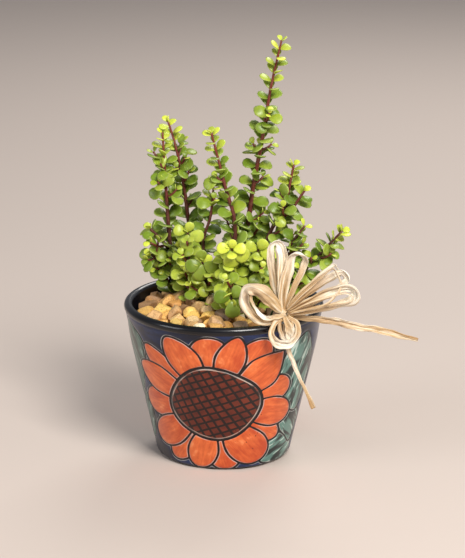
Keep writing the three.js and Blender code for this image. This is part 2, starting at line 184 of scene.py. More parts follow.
# Leaves as (direction of the midrib, outline), right of the flower and then left of it.
LEAVES = [
    (62, [(71, 51), (59, 46), (50, 38), (44, 20), (48, 0), (55, -12), (63, -15), (70, -9), (77, 8),
          (81, 26), (77, 42)]),
    (-60, [(45, -15), (57, -11), (65, -13), (71, -22), (66, -33), (58, -42), (51, -34), (45, -26)]),
    (20, [(40, -28), (52, -33), (60, -42), (62, -53), (50, -56), (38, -54), (29, -50), (32, -38)]),
    (118, [(-88, 30), (-84, 47), (-77, 56), (-66, 52), (-55, 46), (-50, 36), (-54, 18), (-60, 0),
           (-68, -10), (-78, -4), (-86, 12)]),
    (-100, [(-60, 0), (-50, -12), (-48, -26), (-52, -38), (-60, -45), (-68, -36), (-72, -20),
            (-68, -6)]),
]


def turned_by(points, direction):
    """Flat points, turned about the flower's middle by this many degrees."""
    c, s = math.cos(math.radians(direction)), math.sin(math.radians(direction))
    return np.column_stack([points[:, 0] * c - points[:, 1] * s, points[:, 0] * s + points[:, 1] * c])


def petal_outline(direction, reach, half_width, pointed, lean):
    """A petal's edge: narrow at the seed head, widest past its middle, round or pointed at its end."""
    t = (1 - np.cos(np.linspace(0, np.pi, 24))) / 2
    swell = 0.62 + 0.38 * np.sin(np.clip(t / 0.55, 0, 1) * np.pi / 2)
    over = np.clip((t - 0.4) / 0.6, 0, 1)
    half = half_width * swell * ((1 - pointed) * np.sqrt(1 - over**2.8) + pointed * (1 - over**1.8))
    along = PETAL_ROOT + (reach - PETAL_ROOT) * t
    middle = lean * t**2
    left_edge = np.column_stack([along, middle + half])
    right_edge = np.column_stack([along, middle - half])
    return turned_by(np.vstack([left_edge, right_edge[-2::-1]]), direction)


def edge_distance(spots, outline):
    """Distance from each spot to a closed outline, negative inside it, up to DRAWN_REACH."""
    found = np.full(len(spots), DRAWN_REACH)
    near = ((spots > outline.min(0) - DRAWN_REACH) & (spots < outline.max(0) + DRAWN_REACH)).all(1)
    x, y = spots[near].T
    best = np.full(len(x), DRAWN_REACH**2)
    inside = np.zeros(len(x), bool)
    for (ax, ay), (bx, by) in zip(outline, np.roll(outline, -1, axis=0)):
        dx, dy = bx - ax, by - ay
        t = np.clip(((x - ax) * dx + (y - ay) * dy) / (dx * dx + dy * dy + 1e-12), 0, 1)
        best = np.minimum(best, (x - ax - t * dx)**2 + (y - ay - t * dy)**2)
        inside ^= ((ay > y) != (by > y)) & (x < ax + (y - ay) * dx / (dy if dy else 1e-9))
    found[near] = np.sqrt(best) * np.where(inside, -1, 1)
    return found


# Each place on the wall as a flat spot on the drawing, which the back of the pot repeats.
pot_places = places_of(pot_mesh)
azimuth = np.arctan2(pot_places[:, 0], -pot_places[:, 1]) - FLOWER_AZIMUTH
radius = np.hypot(pot_places[:, 0], pot_places[:, 1])
height = pot_places[:, 2]
azimuth = (azimuth + np.pi) % (2 * np.pi) - np.pi
behind = np.abs(azimuth) > np.pi / 2
across = np.where(behind, np.sign(azimuth) * np.pi - azimuth, azimuth)
spots = np.column_stack([FLOWER_SQUEEZE * across * radius, height - FLOWER_CENTRE_Z])
outer = radius > np.interp(height, *wall_bend[:, ::-1].T) - 2

SEED_HEAD_RADIUS = 29.9
SEED_LINE_EXTRA = 0.25
around = np.linspace(0, 2 * np.pi, 72, endpoint=False)
head_radius = SEED_HEAD_RADIUS * (1 + 0.03 * np.cos(4 * around - 0.9) + 0.015 * np.cos(3 * around))
seed_head = np.column_stack([0.7 + head_radius * np.cos(around), 1.7 + head_radius * np.sin(around)])

drawn = [("seed", 0, seed_head)]
drawn += [("petal", petal[0], petal_outline(*petal)) for petal in FRONT_PETALS + BACK_PETALS]
drawn += [("leaf", direction, smooth_line(edge, 61, closed=True)[:-1]) for direction, edge in LEAVES]
kinds = {kind: np.full(len(spots), DRAWN_REACH) for kind in ("seed", "petal", "leaf")}
ink = np.full(len(spots), DRAWN_REACH)
covered = np.zeros(len(spots), bool)
brush = np.zeros((len(spots), 3))
for order, (kind, direction, outline) in enumerate(drawn):
    distance = edge_distance(spots, outline)
    distance[~outer] = DRAWN_REACH
    kinds[kind] = np.minimum(kinds[kind], distance)
    line = np.abs(distance) - (SEED_LINE_EXTRA if kind == "seed" else 0)
    ink = np.where(covered, ink, np.minimum(ink, line))
    own = ~covered & (distance < 0)
    lengthwise = turned_by(spots, -direction)
    brush[own] = np.column_stack([lengthwise, np.full(len(spots), (order * 0.618) % 1)])[own]
    covered |= distance < 0

pooled_glaze = PILLOW * (1 - np.exp(-(np.clip(ink, 0, None) / PILLOW_WIDTH)**2))
relief = pooled_glaze - GROOVE * np.exp(-(ink / GROOVE_WIDTH)**2)
relief = np.where(outer & (height > GLAZED_FOOT) & (height < WALL_TOP), relief, 0)
relief += WOBBLE * (np.sin(2 * azimuth + 0.7) + 0.6 * np.sin(3 * azimuth + height / 40))
grown = (radius + relief) / np.maximum(radius, 1e-6)
move_to(pot_mesh, pot_places * np.column_stack([grown, grown, np.ones_like(grown)]))
drawing = {"ink": ink, **kinds, "brush": brush, "flower": np.column_stack([spots, outer])}
for name, values in drawing.items():
    write_on(pot_mesh, name, values)


def colour(red, green, blue):
    """A colour from its screen values, 0 to 255, as the renderer's linear ones."""
    return [((c / 255 + 0.055) / 1.055)**2.4 if c > 10 else c / 3295 for c in (red, green, blue)] + [1]


class Wire:
    """A value on a material's node socket: sums and products of wires add Math nodes."""

    def __init__(self, tree, socket=None):
        self.tree = tree
        self.socket = socket

    def node(self, kind, settings=None, values=None, out=0):
        """A new node: its type, its settings, then its sockets' values or wires."""
        made = self.tree.nodes.new(kind)
        for name, value in (settings or {}).items():
            setattr(made, name, value)
        for key, value in (values or {}).items():
            if isinstance(value, Wire):
                self.tree.links.new(value.socket, made.inputs[key])
            else:
                made.inputs[key].default_value = value
        return Wire(self.tree, made.outputs[out])

    def maths(self, operation, *values):
        return self.node("ShaderNodeMath", {"operation": operation}, dict(enumerate(values)))

    def __add__(self, other):
        return self.maths("ADD", self, other)

    def __sub__(self, other):
        return self.maths("SUBTRACT", self, other)

    def __rsub__(self, other):
        return self.maths("SUBTRACT", other, self)

    def __mul__(self, other):
        return self.maths("MULTIPLY", self, other)

    __radd__ = __add__
    __rmul__ = __mul__

    def __abs__(self):
        return self.maths("ABSOLUTE", self)

    def folded(self, length):
        """Up and down between 0 and this length, over and over."""
        return self.maths("PINGPONG", self, length)

    def step(self, low, high):
        """0 below low, 1 above high, smooth between."""
        return self.node("ShaderNodeMapRange", {"interpolation_type": "SMOOTHSTEP"},
                         {"Value": self, "From Min": low, "From Max": high})

    def blend(self, first, second):
        """From the first colour to the second as this value goes from 0 to 1."""
        return self.node("ShaderNodeMix", {"data_type": "RGBA"}, {0: self, 6: first, 7: second}, out=2)

    def scaled(self, x, y, z, shift=0.0):
        """This vector, stretched along each axis and shifted."""
        return self.node("ShaderNodeVectorMath", {"operation": "MULTIPLY_ADD"},
                         {0: self, 1: (x, y, z), 2: (shift, shift, shift)})

    def noise(self, scale, detail=2.0, roughness=0.5, distortion=0.0):
        """Soft cloudy grain from 0 to 1 at this vector."""
        return self.node("ShaderNodeTexNoise", None, {"Vector": self, "Scale": scale, "Detail": detail,
                                                      "Roughness": roughness, "Distortion": distortion})

    def read(self, name, out=2):
        """An attribute of the piece's mesh: 2 for a number, 1 for a vector."""
        return self.node("ShaderNodeAttribute", {"attribute_name": name}, out=out)

    def part(self, axis):
        """One of this vector's three numbers."""
        return self.node("ShaderNodeSeparateXYZ", None, {0: self}, out=axis)

    def bump(self, strength, millimetres):
        """This value as the relief of the surface."""
        return self.node("ShaderNodeBump", None,
                         {"Height": self, "Strength": strength, "Distance": millimetres * MM})


def new_finish(name):
    """An empty material, and a wire to start its nodes from."""
    material = bpy.data.materials.new(name)
    material.use_nodes = True
    material.node_tree.nodes.clear()
    return material, Wire(material.node_tree)


def coat_with(start, values):
    """Ends a material in one Principled shader with these values."""
    shader = start.node("ShaderNodeBsdfPrincipled", None, values)
    output = start.tree.nodes.new("ShaderNodeOutputMaterial")
    start.tree.links.new(shader.socket, output.inputs["Surface"])


painted_glaze, glaze = new_finish("painted_glaze")
place = glaze.node("ShaderNodeTexCoord", out="Object")
along_brush = glaze.read("brush", 1)
on_flower = glaze.read("flower", 1)
unsteady = place.noise(160, 3) - 0.5
line_run = glaze.read("ink") + unsteady * 0.45
black_line = 1 - line_run.step(0.6, 0.85)
pale_line = line_run.step(0.65, 0.9) * (1 - line_run.step(1.05, 1.35))
pale_line = pale_line * place.noise(70, 2).step(0.36, 0.6)

streaks = along_brush.scaled(0.05, 0.42, 3).noise(1.0, 4, 0.6, 0.4)
blots = along_brush.scaled(0.09, 0.14, 5).noise(1.0, 3, 0.55)
petal_tone = (streaks * 0.55 + blots * 0.75 + along_brush.part(2) * 0.16).step(0.48, 0.98)
petal_paint = petal_tone.blend(colour(192, 72, 32), colour(236, 118, 58))
petal_paint = blots.step(0.6, 0.8).blend(petal_paint, colour(246, 152, 96))
petal_paint = (glaze.read("petal").step(-3.2, -0.6) * 0.5).blend(petal_paint, colour(196, 74, 38))
leaf_streaks = along_brush.scaled(0.05, 0.2, 7).noise(1.0, 2, 0.5, 0.5)
leaf_ticks = along_brush.scaled(0.07, 0.5, 4, 3.3).noise(1.0, 1, 0.5, 0.3)
leaf_paint = leaf_streaks.step(0.4, 0.56).blend(colour(18, 34, 34), colour(100, 140, 130))
leaf_paint = (leaf_ticks.step(0.56, 0.64) * leaf_streaks.step(0.42, 0.5)).blend(
    leaf_paint, colour(186, 208, 198))
# The leaves left of the flower are painted darker: painted shade on the pot's shaded side.
left_leaves_painted_shade = 1 - on_flower.part(0).step(-62, -40)
leaf_paint = (left_leaves_painted_shade * 0.65).blend(leaf_paint, colour(38, 58, 42))
ground_paint = place.scaled(24, 24, 60).noise(1.0, 4, 0.6, 0.5).step(0.35, 0.75).blend(
    colour(8, 13, 32), colour(20, 46, 96))

bend = on_flower.part(0) * on_flower.part(0) * 0.0022
shake = (place.noise(60, 1) - 0.5) * 1.1


def across_hatch(degrees):
    """Millimetres across the hatched lines of the seed head that lie at this turn."""
    return on_flower.node("ShaderNodeVectorRotate", {"rotation_type": "Z_AXIS"},
                          {"Vector": on_flower, "Angle": math.radians(degrees)}).part(1)


first_line = (across_hatch(-23) + bend + shake).folded(2.8)
second_line = (across_hatch(64) - bend + shake).folded(2.75)
hatching = 1 - first_line.maths("MINIMUM", first_line, second_line).step(0.55, 1.05)
seed_paint = place.noise(120, 3).step(0.3, 0.7).blend(colour(80, 25, 12), colour(116, 43, 22))
seed_paint = hatching.blend(seed_paint, colour(26, 10, 8))
seed_ring = 1 - abs(glaze.read("seed") + 1.75 + unsteady * 0.5).step(0.16, 0.42)
seed_paint = (seed_ring * place.noise(45, 2).step(0.35, 0.6)).blend(seed_paint, colour(196, 168, 152))


def within(name):
    """1 inside the drawn shapes of this kind, 0 outside them."""
    return 1 - glaze.read(name).step(-0.25, 0.25)


paint = within("leaf").blend(ground_paint, leaf_paint)
paint = within("petal").blend(paint, petal_paint)
paint = within("seed").blend(paint, seed_paint)
paint = (pale_line * 0.75).blend(paint, colour(190, 190, 186))
paint = black_line.blend(paint, colour(8, 7, 9))
up = place.part(2)
on_wall = on_flower.part(2).step(0.4, 0.6) * (1 - up.step((WALL_TOP + 0.2) * MM, (WALL_TOP + 0.8) * MM))
rim_paint = place.noise(40, 3).step(0.3, 0.8).blend(colour(3, 3, 6), colour(10, 10, 20))
paint = on_wall.blend(rim_paint, paint)
foot_line = 1 - (up + unsteady * 0.6 * MM).step(1.4 * MM, 2.2 * MM)
paint = (foot_line * on_wall).blend(paint, colour(26, 20, 20))
specks = place.node("ShaderNodeTexVoronoi", None, {"Vector": place, "Scale": 240}, out="Distance")
speck_here = place.noise(23, 1).step(0.6, 0.62)
paint = ((1 - specks.step(0.10, 0.16)) * speck_here * 0.8).blend(paint, colour(52, 22, 16))
bare_clay = 1 - up.step(0.2 * MM, 0.5 * MM)
clay = place.noise(300, 4, 0.7).blend(colour(150, 84, 56), colour(188, 118, 84))
paint = bare_clay.blend(paint, clay)
sheen_patches = place.noise(55, 3, 0.6)
glaze_relief = glaze.read("ink").step(0.0, 1.1) * 0.8 + place.noise(420, 2) * 0.05 + place.noise(60, 2) * 0.35
coat_with(glaze, {
    "Base Color": paint,
    "Roughness": bare_clay * 0.5 + sheen_patches * 0.16 + 0.24,
    "Specular IOR Level": 0.3,
    "Coat Weight": (1 - bare_clay) * 0.4,
    "Coat Roughness": 0.07,
    "Normal": glaze_relief.bump(0.55, 0.3),
})

painted_pot = link_piece("painted_pot", pot_mesh, painted_glaze)
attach(painted_pot, "pot")
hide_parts("pot_body")


# --- Fill inside the pot --------------------------------
# Coarse gravel lies on the pot's floor, then potting soil round the root ball of the cuttings.
# All of it is poured or pressed in by hand and hidden under the top gravel.
def recoat(node, material):
    """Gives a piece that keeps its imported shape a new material."""
    for place_of_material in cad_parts[node].material_slots:
        place_of_material.material = material


packed_stones, stones = new_finish("packed_stones")
place = stones.node("ShaderNodeTexCoord", out="Object")
cells = {"Vector": place, "Scale": 95}
stone_tint = place.node("ShaderNodeTexVoronoi", None, cells, out="Color").part(0)
# The stones' edges give their relief, and are painted dark as painted shade in the gaps between them.
stone_gaps_relief_and_shade = place.node("ShaderNodeTexVoronoi", {"feature": "DISTANCE_TO_EDGE"}, cells)
tints = stone_tint.blend(colour(120, 84, 52), colour(214, 176, 124))
coat_with(stones, {
    "Base Color": stone_gaps_relief_and_shade.step(0.0, 0.12).blend(colour(34, 24, 18), tints),
    "Roughness": place.noise(400, 2) * 0.3 + 0.6,
    "Normal": stone_gaps_relief_and_shade.step(0.0, 0.3).bump(0.9, 2.0),
})
recoat("drainage_layer", packed_stones)

damp_soil, soil = new_finish("damp_soil")
place = soil.node("ShaderNodeTexCoord", out="Object")
crumbs = place.noise(380, 5, 0.7)
grit = place.node("ShaderNodeTexVoronoi", None, {"Vector": place, "Scale": 300}, out="Distance")
soil_paint = crumbs.step(0.3, 0.75).blend(colour(34, 24, 18), colour(84, 60, 42))
soil_paint = ((1 - grit.step(0.1, 0.16)) * place.noise(60, 1).step(0.5, 0.6)).blend(
    soil_paint, colour(206, 198, 186))
coat_with(soil, {
    "Base Color": soil_paint,
    "Roughness": crumbs * 0.2 + 0.78,
    "Normal": crumbs.bump(0.8, 1.2),
})
recoat("potting_soil", damp_soil)
recoat("root_ball", damp_soil)


# --- Gravel ---------------------------------------------
# River pea gravel of mixed quartz and sandstone, 10 to 19 mm, worn but still angular. It is poured
# over the soil in two layers, heaped a little towards the middle, with small chips in the gaps
# and loose stones on top.
BED_REACH = 60.5
STEM_ROOM = 5
STONE_GAP = 10.6
STONE_Z = 112.0
STONE_UNEVEN = 1.6
STONE_HALF_SIZES = ((5.6, 5.4, 5.0), (9.4, 8.4, 7.0))
HEAP = 6.0
CHIP_STEM_ROOM = 4
CHIP_GAP = 7.2
CHIP_Z = 110.0
CHIP_HALF_SIZES = (3.6, 5.4)
UNDER_GAP = 9.5
UNDER_Z = 104.5
UNDER_HALF_SIZES = (4.0, 6.0)
SPREAD_TRIES = 6000
UNDER_TRIES = 3000
FACETS = 13
FACET_DEPTHS = (0.5, 0.82)
TINT_RANGE = (0.8, 1.12)
STONE_TINTS = [
    (220, 172, 100), (230, 192, 130), (206, 152, 86), (164, 122, 76), (136, 112, 86), (236, 198, 112),
    (246, 234, 200), (196, 142, 84), (216, 174, 122), (228, 182, 104), (146, 112, 76), (240, 208, 156),
]
dice = np.random.default_rng(11)


def stone_blank(name, subdivisions):
    """A round ball of even faces, to cut stones from."""
    bm = bmesh.new()
    bmesh.ops.create_icosphere(bm, subdivisions=subdivisions, radius=MM)
    return mesh_from(bm, name)


fine_ball = stone_blank("fine_ball", 4)
plain_ball = stone_blank("plain_ball", 3)


def broken_stone(ball, centre, half):
    """A stone with its own flat faces and soft corners, to these half sizes."""
    round_places = places_of(ball)
    ripple = np.sin(round_places[:, [1, 2, 0]] * dice.uniform(2, 5, 3) + dice.uniform(0, 6, 3))
    shape = round_places * (1 + 0.03 * ripple)
    for normal in dice.normal(size=(FACETS, 3)):
        normal /= np.linalg.norm(normal)
        proud = np.clip(shape @ normal - dice.uniform(*FACET_DEPTHS), 0, None)
        shape -= proud[:, None] * normal * 0.98
    shape *= np.array(half) / np.abs(shape).max(0)
    mesh = ball.copy()
    move_to(mesh, shape + centre)
    tint = np.array(colour(*STONE_TINTS[dice.integers(len(STONE_TINTS))])[:3]) * dice.uniform(*TINT_RANGE)
    write_on(mesh, "tint", np.tile(tint, (len(shape), 1)))
    return mesh


def gathered(meshes, name):
    """Several meshes as one, the parts left apart."""
    bm = bmesh.new()
    for mesh in meshes:
        bm.from_mesh(mesh)
        bpy.data.meshes.remove(mesh)
    return mesh_from(bm, name)


def spread(fixed, gap, tries):
    """Random places over the bed, at least a gap from each other and from the fixed ones."""
    found = list(fixed)
    for x, y in dice.uniform(-BED_REACH, BED_REACH, (tries, 2)):
        if math.hypot(x, y) < BED_REACH and all(math.hypot(x - a, y - b) > gap for a, b in found):
            found.append((x, y))
    return found[len(fixed):]


river_stone, stones = new_finish("river_stone")
place = stones.node("ShaderNodeTexCoord", out="Object")
tint = stones.read("tint", 1)
cloud = place.noise(130, 4, 0.6)
veins = place.noise(210, 3, 0.5, 1.5)
stone_paint = cloud.step(0.3, 0.72).blend(tint, tint.scaled(1.22, 1.16, 1.05))
vein_lines = 1 - abs(veins - 0.5).step(0.0, 0.05)
stone_paint = (vein_lines * 0.55).blend(stone_paint, tint.scaled(0.5, 0.36, 0.26))
stone_paint = (place.noise(900, 2).step(0.62, 0.72) * 0.5).blend(stone_paint, colour(70, 50, 36))
coat_with(stones, {
    "Base Color": stone_paint,
    "Roughness": cloud * 0.3 + 0.42,
    "Normal": (cloud * 0.7 + place.noise(700, 3) * 0.3).bump(0.5, 0.9),
})

loose_nodes = sorted(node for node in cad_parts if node.startswith("pebble_"))
loose_spots = []
for node in loose_nodes:
    low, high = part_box(node)
    middle = (low + high) / 2 / MM
    half = (high - low) / 2 / MM
    loose_spots.append((middle.x, middle.y))
    name = node.replace("pebble", "loose_stone")
    piece = link_piece(name, broken_stone(fine_ball, middle, half), river_stone)
    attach(piece, "pot")
    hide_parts(node)

# Where the twelve stems and the bow's wire come up through the gravel.
STEM_SPOTS = [(12, 20), (-40, 25), (-20, 32), (10, 4), (-16, 15), (20, 8), (36, 0), (9, -9),
              (-25, 7), (-12, 1), (4, -17), (22, -9), (35, -44)]


def clear_of_stems(spots, room):
    """The spots that leave this much room round every stem."""
    return [(x, y) for x, y in spots if min(math.hypot(x - a, y - b) for a, b in STEM_SPOTS) > room]


bed_meshes = []
top_spots = spread(loose_spots, STONE_GAP, SPREAD_TRIES)
for x, y in clear_of_stems(top_spots, STEM_ROOM):
    half = dice.uniform(*STONE_HALF_SIZES)
    heap = HEAP * (1 - math.hypot(x, y) / BED_REACH)
    z = STONE_Z + heap + dice.uniform(-STONE_UNEVEN, STONE_UNEVEN)
    bed_meshes.append(broken_stone(fine_ball, (x, y, z), half))
for x, y in clear_of_stems(spread(loose_spots + top_spots, CHIP_GAP, SPREAD_TRIES), CHIP_STEM_ROOM):
    z = CHIP_Z + dice.uniform(-1, 1)
    bed_meshes.append(broken_stone(plain_ball, (x, y, z), dice.uniform(*CHIP_HALF_SIZES, 3)))
for x, y in clear_of_stems(spread([], UNDER_GAP, UNDER_TRIES), CHIP_STEM_ROOM):
    bed_meshes.append(broken_stone(plain_ball, (x, y, UNDER_Z), dice.uniform(*UNDER_HALF_SIZES, 3)))
gravel = link_piece("gravel_bed_stones", gathered(bed_meshes, "gravel_bed_stones"), river_stone)
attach(gravel, "pot")
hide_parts("gravel_bed")


# --- Elephant bush cuttings -----------------------------
# Woody dark red stems with a slight swelling at each joint, pushed into the root ball. The round
# fleshy leaves grow in pairs, each pair turned from the last, with small shoots between them.
# A cutting is listed as its shoots, the stem first: radius at the root, places it passes through.
CUTTINGS = {
    "tall": [(2.3, [(12, 20, 88), (12, 20, 117), (15, 20, 143), (22, 16, 200), (29, 12, 240), (35, 8, 279),
                    (43, 4, 317)])],
    "left": [(2.2, [(-40, 25, 88), (-40, 25, 117), (-41, 25, 151), (-43, 25, 185), (-45, 25, 222),
                    (-46, 25, 243)]),
             (1.4, [(-41, 25, 134), (-48, 20, 143), (-56, 16, 150)]),
             (1.4, [(-42, 25, 152), (-48, 20, 161), (-56, 18, 170)])],
    "left_back": [(2.2, [(-20, 32, 88), (-20, 32, 117), (-22, 32, 141), (-27, 32, 173), (-31, 32, 205),
                         (-37, 32, 233), (-42, 32, 250)])],
    "middle": [(2.2, [(10, 4, 88), (10, 4, 117), (9, 4, 149), (8, 5, 181), (2, 6, 203), (-4, 6, 227),
                      (-9, 6, 247)])],
    "thin": [(1.7, [(-16, 15, 88), (-16, 15, 122), (-15, 14, 162), (-10, 13, 180), (-7, 12, 209)])],
    "right": [(2.3, [(20, 8, 88), (20, 8, 120), (26, 8, 146), (37, 8, 173), (46, 8, 190), (53, 8, 222)]),
              (1.5, [(42, 8, 181), (50, 4, 187), (61, 0, 204)])],
    "right_low": [(2.1, [(36, 0, 88), (36, 0, 120), (50, -4, 131), (62, -7, 145), (74, -9, 159),
                         (89, -12, 176)]),
                  (1.5, [(37, 0, 122), (41, 1, 140), (46, 0, 154), (53, -3, 166), (61, -5, 178)])],
    "front": [(1.9, [(8, -8, 88), (9, -9, 116), (8, -17, 143), (6, -28, 168)])],
    "front_left": [(1.7, [(-25, 7, 88), (-25, 7, 122), (-26, 5, 149), (-27, 1, 172)])],
    "front_short": [(1.6, [(-12, 1, 88), (-12, 1, 118), (-14, -6, 139), (-16, -10, 152)])],
    "front_low": [(1.6, [(4, -17, 88), (4, -17, 116), (5, -24, 133), (6, -34, 138), (6, -42, 131)])],
    "front_right": [(1.7, [(22, -9, 88), (22, -9, 120), (24, -15, 146), (26, -20, 164)])],
}
STEM_TIP = 0.7
STEM_SIDES = 9
STEM_ROWS = 400
STEM_ROW_PITCH = 2.2
JOINT_PITCH = 7.6
JOINT_PITCH_TIP = 5.4
JOINT_UNEVEN = 0.7
JOINT_SWELL = 0.16
JOINT_SWELL_REACH = 1.3
FIRST_JOINT_Z = 117
SHOOT_RADIUS = 1.0
SHOOT_REACH = (8, 17)
SHOOT_FIRST_JOINT = 4.5
SHOOT_JOINTS_CLOSER = 2.0
LAST_SHOOT_SHARE = 0.85
SHOOTS_THIN_OUT_Z = 150
SHOOT_CHANCE_LOW = 0.55
SHOOT_CHANCE_HIGH = 0.3
SHOOT_ROOM_LOW = 68
SHOOT_ROOM_HIGH = 128
LEAF_LENGTH = 12.2
LEAF_WIDTH = 10.8
LEAF_THICK = 1.9
LEAF_SIDES = 12
LEAF_CLEAR = 5.3
LEAF_MIDDLE = 0.55
# No leaf may touch the rim or come as far forward as the bow.
RIM_CLEAR_Z = 124
RIM_CLEAR_RADIUS = 61
LEAF_FRONT = -52
SHOOT_FRONT = -46
# Leaves lean across the way that most light comes from, and turn their faces to it.
LIGHT_WAY = Vector((0.1, -0.84, 0.5))


def tube(path, radii, sides):
    """A closed round bar: a ring of edges drawn out along the path."""
    bm = bmesh.new()
    bmesh.ops.create_circle(bm, segments=sides, radius=MM)
    ring = bm.edges[:]
    heading = Vector((0, 0, 1))
    turn = Matrix.Identity(3)
    before = Matrix.Identity(4)
    for step, (centre, way, radius) in enumerate(zip(path, np.gradient(path, axis=0), radii)):
        way = Vector(way).normalized()
        turn = heading.rotation_difference(way).to_matrix() @ turn
        heading = way
        after = Matrix.Translation(Vector(centre) * MM) @ turn.to_4x4() @ Matrix.Scale(radius, 4)
        points = bm.verts[:]
        if step:
            made = bmesh.ops.extrude_edge_only(bm, edges=ring)["geom"]
            points = [part for part in made if isinstance(part, bmesh.types.BMVert)]
            edges = [part for part in made if isinstance(part, bmesh.types.BMEdge)]
            ring = [edge for edge in edges if set(edge.verts) <= set(points)]
        bmesh.ops.transform(bm, matrix=after @ before.inverted(), verts=points)
        before = after
    bmesh.ops.edgeloop_fill(bm, edges=[edge for edge in bm.edges if edge.is_boundary])
    bmesh.ops.recalc_face_normals(bm, faces=bm.faces)
    return mesh_from(bm, "bar")


def leaf_blank():
    """One fleshy leaf, its stalk end at the origin, pointing along +X with its face up."""
    bm = bmesh.new()
    bmesh.ops.create_uvsphere(bm, u_segments=LEAF_SIDES, v_segments=4, radius=MM)
    mesh = mesh_from(bm, "leaf_blank")
    x, y, z = places_of(mesh).T
    rim = np.hypot(x, y)
    full = np.where(rim > 1e-6, np.minimum(rim, 1) ** 0.45 / np.maximum(rim, 1e-6), 0)
    x, y = x * full, y * full
    side = 0.74 + 0.30 * x - 0.10 * x * x
    length = LEAF_LENGTH * (0.5 + 0.5 * x)
    lift = -0.9 * (length / LEAF_LENGTH)**2 + 0.9 * y * y
    move_to(mesh, np.column_stack([length, LEAF_WIDTH / 2 * y * side / 0.78, LEAF_THICK / 2 * z + lift]))
    write_on(mesh, "rim", np.minimum(np.hypot(x, y), 1))
    write_on(mesh, "age", np.zeros(len(x)))
    write_on(mesh, "chance", np.zeros(len(x)))
    mesh.polygons.foreach_set("material_index", [1] * len(mesh.polygons))
    return mesh


def add_leaf(bm, base, way, face, size, age):
    """A copy of the leaf at a joint, if no other leaf is there yet."""
    way = Vector(way).normalized()
    side = Vector(face).cross(way).normalized()
    middle = np.array(base) + np.array(way) * LEAF_LENGTH * size * LEAF_MIDDLE
    at_rim = middle[2] < RIM_CLEAR_Z and math.hypot(middle[0], middle[1]) > RIM_CLEAR_RADIUS
    if at_rim or middle[1] < LEAF_FRONT:
        return
    for other, other_size in leaf_middles:
        if np.dot(middle - other, middle - other) < (LEAF_CLEAR * min(size, other_size))**2:
            return
    leaf_middles.append((middle, size))
    turn = Matrix((way, side, way.cross(side))).transposed().to_4x4()
    put = Matrix.Translation(Vector(base) * MM) @ turn @ Matrix.Scale(size, 4)
    for name, value in (("age", age), ("chance", dice.uniform())):
        leaf.attributes[name].data.foreach_set("value", [value] * len(leaf.vertices))
    leaf.transform(put)
    bm.from_mesh(leaf)
    leaf.transform(put.inverted())


leaf = leaf_blank()
leaf_middles = []


def grow(bm, base_radius, route, young, is_shoot=False):
    """A stem with its leaves and side shoots, added to one cutting's mesh."""
    line = smooth_line(route, STEM_ROWS)
    total = np.linalg.norm(np.diff(line, axis=0), axis=1).sum()
    run = np.linspace(0, total, STEM_ROWS)
    joints = []
    at = SHOOT_FIRST_JOINT
    if route[0][2] < FIRST_JOINT_Z:
        at = np.interp(FIRST_JOINT_Z, line[:, 2], run)
    while at < total - 2:
        joints.append(at)
        at += JOINT_PITCH + (JOINT_PITCH_TIP - JOINT_PITCH) * (at / total)**3
        at += dice.uniform(-JOINT_UNEVEN, JOINT_UNEVEN) - (SHOOT_JOINTS_CLOSER if is_shoot else 0)
    joints.append(total - 0.6)
    rows = np.linspace(0, total, max(4, int(total / STEM_ROW_PITCH)))
    swell = sum(np.exp(-((rows - joint) / JOINT_SWELL_REACH)**2) for joint in joints)
    radii = base_radius + (STEM_TIP - base_radius) * (rows / total)**1.3
    path = np.column_stack([np.interp(rows, run, axis) for axis in line.T])
    bar = tube(path, radii * (1 + JOINT_SWELL * swell), STEM_SIDES)
    tall = places_of(bar)[:, 2]
    write_on(bar, "rim", np.zeros(len(tall)))
    write_on(bar, "age", np.clip((tall - 110) / 140, 0, 1) * (1 - is_shoot) + is_shoot * 0.7)
    write_on(bar, "chance", np.full(len(tall), dice.uniform()))
    bm.from_mesh(bar)
    bpy.data.meshes.remove(bar)
    turn = dice.uniform(0, math.pi)
    for number, joint in enumerate(joints):
        here, ahead, below = [Vector([np.interp(near, run, axis) for axis in line.T])
                              for near in (joint, min(joint + 2, total), joint - 2)]
        way = (ahead - below).normalized()
        share = joint / total
        last = number == len(joints) - 1
        first_side = way.cross(Vector((0.3, 1, 0.2))).normalized()
        turn += math.pi / 2 + dice.uniform(-0.25, 0.25)
        for side in (0, math.pi):
            out = Matrix.Rotation(turn + side, 3, way) @ first_side
            rise = 0.22 + 0.4 * share + dice.uniform(-0.25, 0.25) + (0.35 if last else 0)
            size = (1.06 - 0.42 * max(0, share - 0.6) / 0.4) * dice.uniform(0.84, 1.1) * (0.72 if last else 1)
            size *= 0.92 if is_shoot else 1
            leaf_way = out * math.cos(rise) + way * math.sin(rise)
            leaf_way -= LIGHT_WAY * leaf_way.dot(LIGHT_WAY) * 0.45
            face = way * math.cos(rise) - out * math.sin(rise)
            face += LIGHT_WAY * dice.uniform(0.5, 1.2 if share > 0.8 else 2.6)
            tip_age = max(0, (share - 0.82) / 0.18) * (0.4 if is_shoot else 0.8)
            age = min(1, max(0, tip_age + young * 0.45 + dice.uniform(-0.1, 0.3)))
            add_leaf(bm, here + out * 0.6, leaf_way, face, size, age)
            chance = SHOOT_CHANCE_LOW if here.z < SHOOTS_THIN_OUT_Z else SHOOT_CHANCE_HIGH
            if not is_shoot and share < LAST_SHOOT_SHARE and dice.uniform() < chance:
                reach = dice.uniform(*SHOOT_REACH) * (1.2 - 0.6 * share)
                shoot_way = (out + way * dice.uniform(0.3, 1.0)).normalized()
                end = here + shoot_way * reach + Vector((0, 0, 0.3 * reach))
                room = SHOOT_ROOM_HIGH if end.z > SHOOTS_THIN_OUT_Z else SHOOT_ROOM_LOW
                if end.y > SHOOT_FRONT and math.hypot(end.x, end.y) < room:
                    shoot = [here, here + shoot_way * reach * 0.5, end]
                    grow(bm, SHOOT_RADIUS, shoot, max(young * 0.7, 0.2), True)


